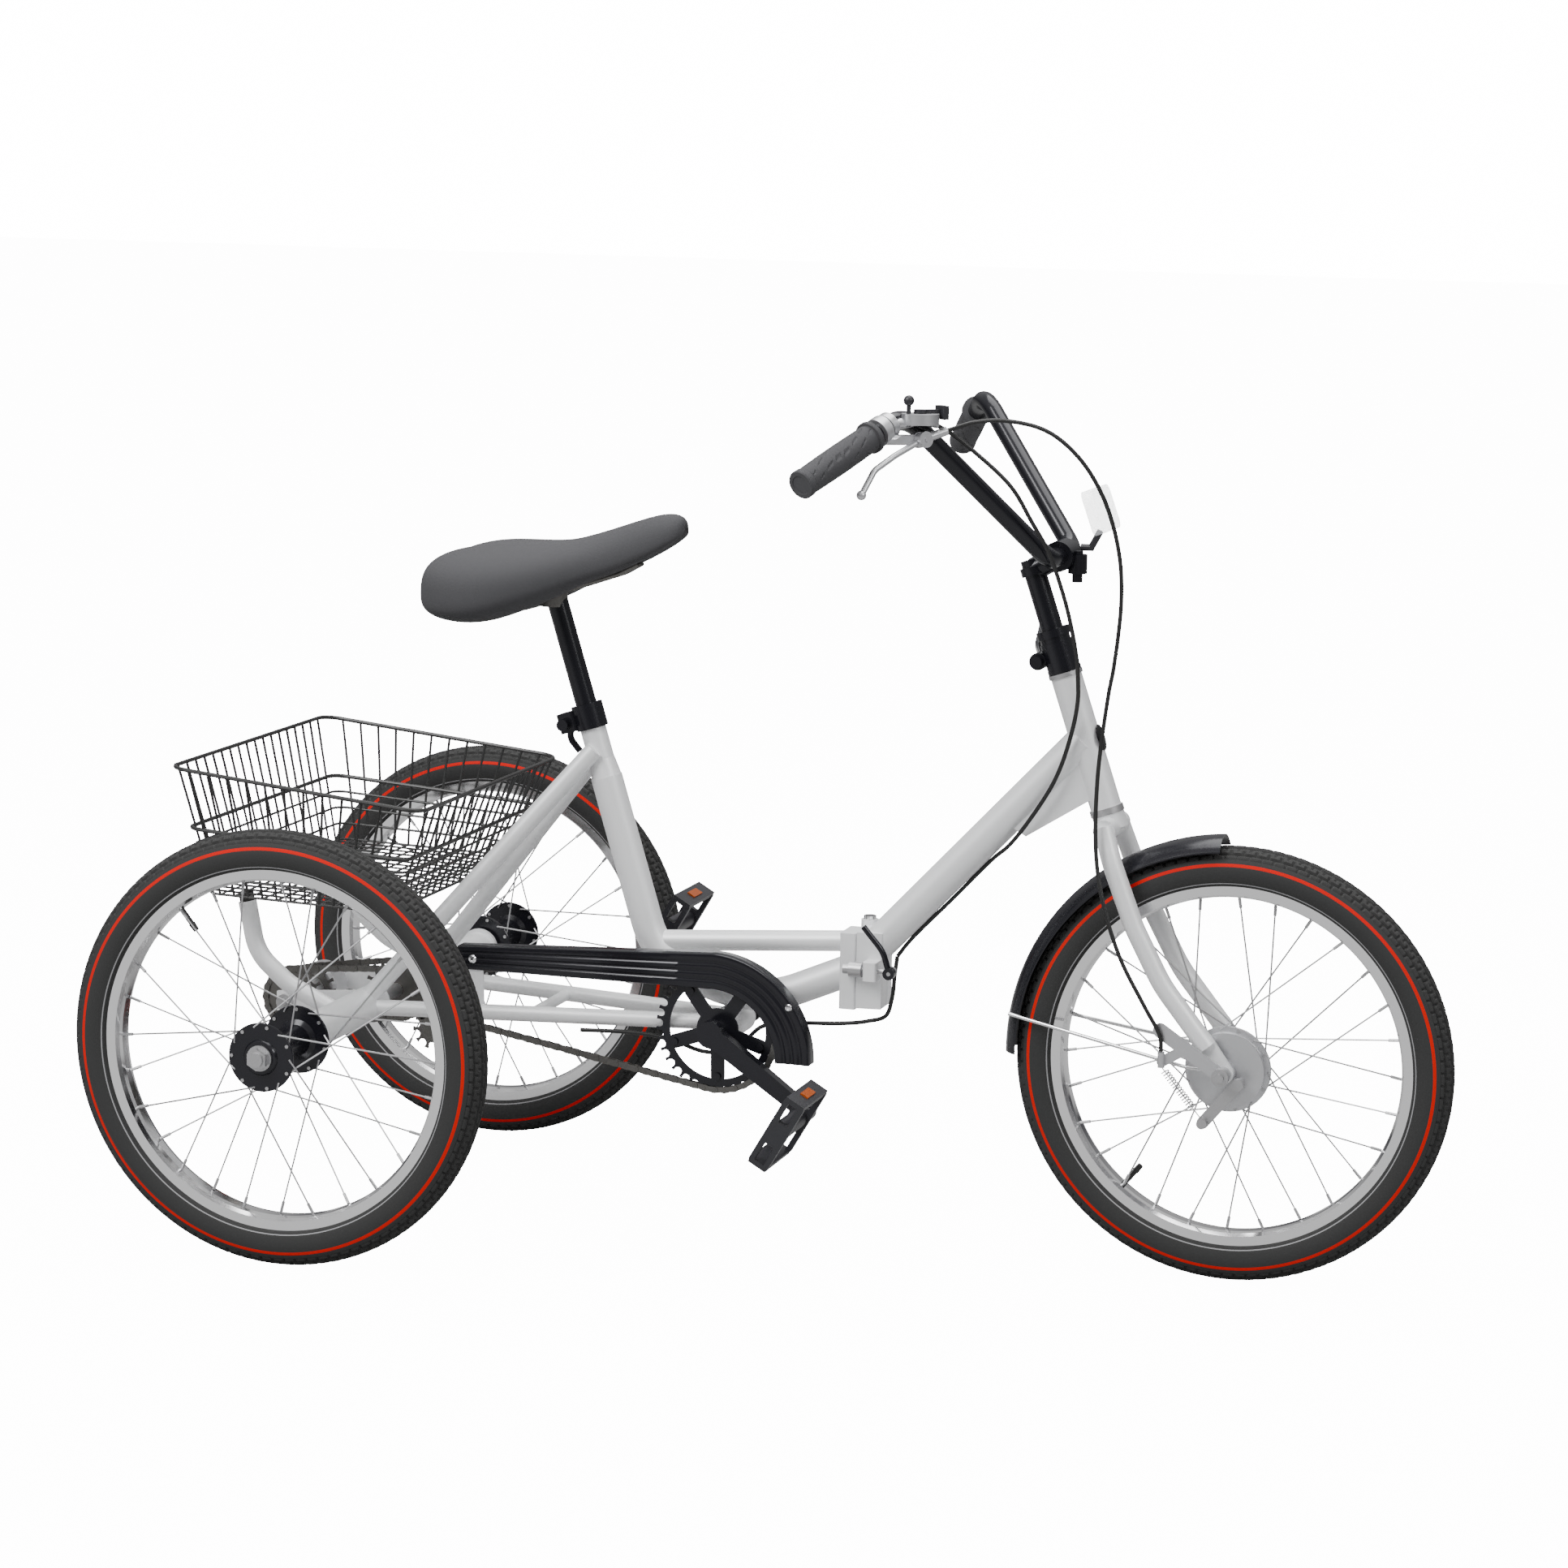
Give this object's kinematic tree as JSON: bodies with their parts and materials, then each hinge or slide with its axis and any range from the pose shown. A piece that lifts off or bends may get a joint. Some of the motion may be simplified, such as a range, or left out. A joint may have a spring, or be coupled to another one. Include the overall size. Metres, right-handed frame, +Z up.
{
  "type": "adult tricycle",
  "caption": "Folding adult tricycle with a step-through frame, wire basket, chain-driven rear axle and a front drum brake worked by a hand lever.",
  "frame": {"origin": "on the floor, midway between the rear axle and the front axle, on the centre plane", "axes": "+X forwards along the wheelbase, +Y to the rider's left, +Z up"},
  "size_m": [1.5517, 0.81, 1.0214],
  "materials": {
    "frame_white": "gloss pearl",
    "gloss_black": "gloss",
    "satin_black": "satin",
    "chrome": "polished",
    "alloy": "satin",
    "steel": "zinc plated",
    "dark_steel": "oiled",
    "tyre": "matt, with a red line on each side",
    "vinyl": "soft grained",
    "black_plastic": "satin",
    "cable_black": "satin",
    "clear_plastic": "clear prismatic"
  },
  "bodies": {
    "rear_frame": {"main_frame": "frame_white", "rear_carriage": "frame_white", "bearing_cups": "steel", "chain_guard": "gloss_black", "primary_chain": "dark_steel", "secondary_chain": "dark_steel", "basket": "satin_black", "hoop_plugs": "cable_black", "seat_clamp": "gloss_black", "hinge_pin": "chrome", "rear_shift_cable": "cable_black", "hub_axle": "steel", "chain_tensioner": "dark_steel"},
    "seat_clamp_lever": {"seat_lever": "gloss_black"},
    "seat": {"seat_post": "gloss_black", "saddle_frame": "dark_steel", "saddle": "vinyl"},
    "crankset": {"crank_spindle": "steel", "chainring": "gloss_black", "right_crank": "gloss_black", "left_crank": "gloss_black"},
    "pedal_right": {"right_pedal": "black_plastic"},
    "pedal_left": {"left_pedal": "black_plastic"},
    "gear_hub_body": {"gear_hub": "alloy", "hub_sprockets": "dark_steel"},
    "idler": {"idler_pulley": "dark_steel"},
    "driven_axle": {"rear_axle": "steel", "axle_sprocket": "dark_steel", "right_tyre": "tyre", "right_rim": "chrome", "right_hub": "gloss_black"},
    "wheel_left": {"left_tyre": "tyre", "left_rim": "chrome", "left_hub": "gloss_black"},
    "front_half": {"front_frame": "frame_white", "headset_cups": "steel", "front_shift_cable": "cable_black", "hinge_bolt": "steel"},
    "fold_lever": {"hinge_lever": "gloss_black"},
    "steered_fork": {"fork": "frame_white", "stem_clamp": "gloss_black", "front_fender": "gloss_black", "brake_plate": "alloy", "front_axle": "steel", "brake_cable": "cable_black"},
    "stem_clamp_lever": {"stem_lever": "chrome"},
    "drum_arm": {"brake_arm": "steel"},
    "wheel_front": {"front_tyre": "tyre", "front_rim": "chrome", "front_hub": "alloy"},
    "bar": {"stem_post": "gloss_black", "handlebar": "gloss_black", "handlebar_grips": "vinyl", "brake_bracket": "alloy", "shifter": "alloy", "front_reflector": "clear_plastic", "bar_shift_cable": "cable_black"},
    "hand_lever": {"brake_lever": "alloy"},
    "gear_paddle": {"shift_paddle": "black_plastic"},
    "brake_lock": {"lock_knob": "black_plastic"}
  },
  "joints": [
    {"name": "frame_fold", "type": "hinge", "parent": "rear_frame", "child": "front_half", "pos_m": [0.0745, 0.03, 0.332], "axis": [0, 0, 1], "range_deg": [0, 110], "deforming": ["rear_shift_cable"]},
    {"name": "steering", "type": "hinge", "parent": "front_half", "child": "steered_fork", "pos_m": [0.3639, 0, 0.54], "axis": [-0.3256, 0, 0.9455], "range_deg": [-45, 45], "deforming": ["front_shift_cable"]},
    {"name": "stem_height", "type": "slide", "parent": "steered_fork", "child": "bar", "axis": [-0.3256, 0, 0.9455], "range_m": [-0.05, 0.06], "deforming": ["brake_cable", "bar_shift_cable"]},
    {"name": "front_wheel_spin", "type": "hinge", "parent": "steered_fork", "child": "wheel_front", "pos_m": [0.521, 0, 0.255], "axis": [0, 1, 0], "continuous": true},
    {"name": "brake_lever_pull", "type": "hinge", "parent": "bar", "child": "hand_lever", "pos_m": [0.184, -0.185, 0.972], "axis": [-0.7929, 0.5979, -0.118], "range_deg": [0, 10], "stiffness_Nm_per_rad": 3},
    {"name": "brake_arm_pull", "type": "hinge", "parent": "steered_fork", "child": "drum_arm", "pos_m": [0.539, -0.06, 0.245], "axis": [0, 1, 0], "range_deg": [0, 15]},
    {"name": "shift_paddle_turn", "type": "hinge", "parent": "bar", "child": "gear_paddle", "pos_m": [0.182, -0.187, 0.995], "axis": [0, 0, 1], "range_deg": [-45, 0]},
    {"name": "lock_knob_press", "type": "slide", "parent": "bar", "child": "brake_lock", "axis": [0, 0, 1], "range_m": [-0.0035, 0], "stiffness_N_per_m": 600},
    {"name": "stem_lever_turn", "type": "hinge", "parent": "steered_fork", "child": "stem_clamp_lever", "pos_m": [0.27928, 0, 0.70896], "axis": [0, 1, 0], "range_deg": [-100, 0]},
    {"name": "seat_height", "type": "slide", "parent": "rear_frame", "child": "seat", "axis": [-0.2974, 0, 0.9548], "range_m": [-0.07, 0.06]},
    {"name": "seat_lever_turn", "type": "hinge", "parent": "rear_frame", "child": "seat_clamp_lever", "pos_m": [-0.29777, 0, 0.60006], "axis": [0, 1, 0], "range_deg": [0, 100]},
    {"name": "fold_lever_turn", "type": "hinge", "parent": "front_half", "child": "fold_lever", "pos_m": [0.1205, -0.044, 0.337], "axis": [0, 1, 0], "range_deg": [0, 60]},
    {"name": "crank_spin", "type": "hinge", "parent": "rear_frame", "child": "crankset", "pos_m": [-0.0875, 0, 0.253], "axis": [0, 1, 0], "continuous": true, "deforming": ["primary_chain", "secondary_chain"]},
    {"name": "right_pedal_spin", "type": "hinge", "parent": "crankset", "child": "pedal_right", "pos_m": [0.03128, -0.143, 0.16983], "axis": [0, 1, 0], "continuous": true},
    {"name": "left_pedal_spin", "type": "hinge", "parent": "crankset", "child": "pedal_left", "pos_m": [-0.20628, 0.143, 0.33617], "axis": [0, 1, 0], "continuous": true},
    {"name": "hub_spin", "type": "hinge", "parent": "rear_frame", "child": "gear_hub_body", "pos_m": [-0.634, 0, 0.246], "axis": [0, 1, 0], "continuous": true},
    {"name": "idler_spin", "type": "hinge", "parent": "rear_frame", "child": "idler", "pos_m": [-0.452, -0.048, 0.222], "axis": [0, 1, 0], "continuous": true},
    {"name": "axle_spin", "type": "hinge", "parent": "rear_frame", "child": "driven_axle", "pos_m": [-0.521, 0, 0.255], "axis": [0, 1, 0], "continuous": true},
    {"name": "left_wheel_spin", "type": "hinge", "parent": "driven_axle", "child": "wheel_left", "pos_m": [-0.521, 0.338, 0.255], "axis": [0, 1, 0], "continuous": true}
  ],
  "couplings": [
    {"joint": "hub_spin", "follows": "crank_spin", "ratio": 2},
    {"joint": "axle_spin", "follows": "crank_spin", "ratio": 1.5556},
    {"joint": "idler_spin", "follows": "crank_spin", "ratio": -3.6},
    {"joint": "brake_arm_pull", "follows": "brake_lever_pull", "ratio": 1.5}
  ]
}
